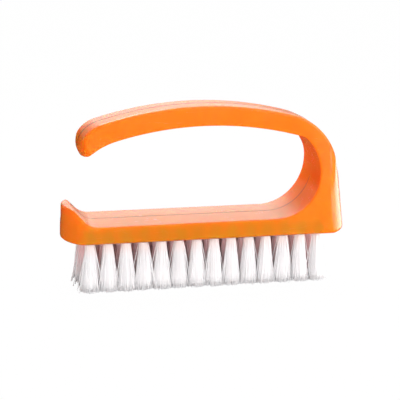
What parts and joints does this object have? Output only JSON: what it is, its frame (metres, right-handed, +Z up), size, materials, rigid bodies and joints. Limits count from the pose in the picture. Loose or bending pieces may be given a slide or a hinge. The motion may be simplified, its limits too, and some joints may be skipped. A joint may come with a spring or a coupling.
{
  "type": "nail brush",
  "caption": "One-piece hooked-handle nail brush: moulded body with an open finger space and a field of bristle tufts locked in blind holes.",
  "frame": {"origin": "middle of the footprint, on the plane of the bristle tips that the brush rests on", "axes": "+Z up from the bristle tips to the handle; +X along the brush from the open lip to the riser; +Y across the brush"},
  "size_m": [0.0954, 0.0238, 0.0593],
  "materials": {
    "orange_plastic": "gloss moulded polypropylene",
    "white_bristle": "satin white filament bundles",
    "plate_metal": "plain rolled strip"
  },
  "bodies": {
    "root": {"moulded_body": "orange_plastic", "bristle_tuft_column_01_row_1": "white_bristle", "bristle_tuft_column_01_row_2": "white_bristle", "bristle_tuft_column_01_row_3": "white_bristle", "bristle_tuft_column_01_row_4": "white_bristle", "bristle_tuft_column_02_row_1": "white_bristle", "bristle_tuft_column_02_row_2": "white_bristle", "bristle_tuft_column_02_row_3": "white_bristle", "bristle_tuft_column_02_row_4": "white_bristle", "bristle_tuft_column_03_row_1": "white_bristle", "bristle_tuft_column_03_row_2": "white_bristle", "bristle_tuft_column_03_row_3": "white_bristle", "bristle_tuft_column_03_row_4": "white_bristle", "bristle_tuft_column_04_row_1": "white_bristle", "bristle_tuft_column_04_row_2": "white_bristle", "bristle_tuft_column_04_row_3": "white_bristle", "bristle_tuft_column_04_row_4": "white_bristle", "bristle_tuft_column_05_row_1": "white_bristle", "bristle_tuft_column_05_row_2": "white_bristle", "bristle_tuft_column_05_row_3": "white_bristle", "bristle_tuft_column_05_row_4": "white_bristle", "bristle_tuft_column_06_row_1": "white_bristle", "bristle_tuft_column_06_row_2": "white_bristle", "bristle_tuft_column_06_row_3": "white_bristle", "bristle_tuft_column_06_row_4": "white_bristle", "bristle_tuft_column_07_row_1": "white_bristle", "bristle_tuft_column_07_row_2": "white_bristle", "bristle_tuft_column_07_row_3": "white_bristle", "bristle_tuft_column_07_row_4": "white_bristle", "bristle_tuft_column_08_row_1": "white_bristle", "bristle_tuft_column_08_row_2": "white_bristle", "bristle_tuft_column_08_row_3": "white_bristle", "bristle_tuft_column_08_row_4": "white_bristle", "bristle_tuft_column_09_row_1": "white_bristle", "bristle_tuft_column_09_row_2": "white_bristle", "bristle_tuft_column_09_row_3": "white_bristle", "bristle_tuft_column_09_row_4": "white_bristle", "bristle_tuft_column_10_row_1": "white_bristle", "bristle_tuft_column_10_row_2": "white_bristle", "bristle_tuft_column_10_row_3": "white_bristle", "bristle_tuft_column_10_row_4": "white_bristle", "bristle_tuft_column_11_row_1": "white_bristle", "bristle_tuft_column_11_row_2": "white_bristle", "bristle_tuft_column_11_row_3": "white_bristle", "bristle_tuft_column_11_row_4": "white_bristle", "bristle_tuft_column_12_row_1": "white_bristle", "bristle_tuft_column_12_row_2": "white_bristle", "bristle_tuft_column_12_row_3": "white_bristle", "bristle_tuft_column_12_row_4": "white_bristle", "bristle_tuft_column_13_row_1": "white_bristle", "bristle_tuft_column_13_row_2": "white_bristle", "bristle_tuft_column_13_row_3": "white_bristle", "bristle_tuft_column_13_row_4": "white_bristle", "bristle_tuft_column_14_row_1": "white_bristle", "bristle_tuft_column_14_row_2": "white_bristle", "bristle_tuft_column_14_row_3": "white_bristle", "bristle_tuft_column_14_row_4": "white_bristle", "tuft_lock_plates": "plate_metal"}
  },
  "joints": []
}
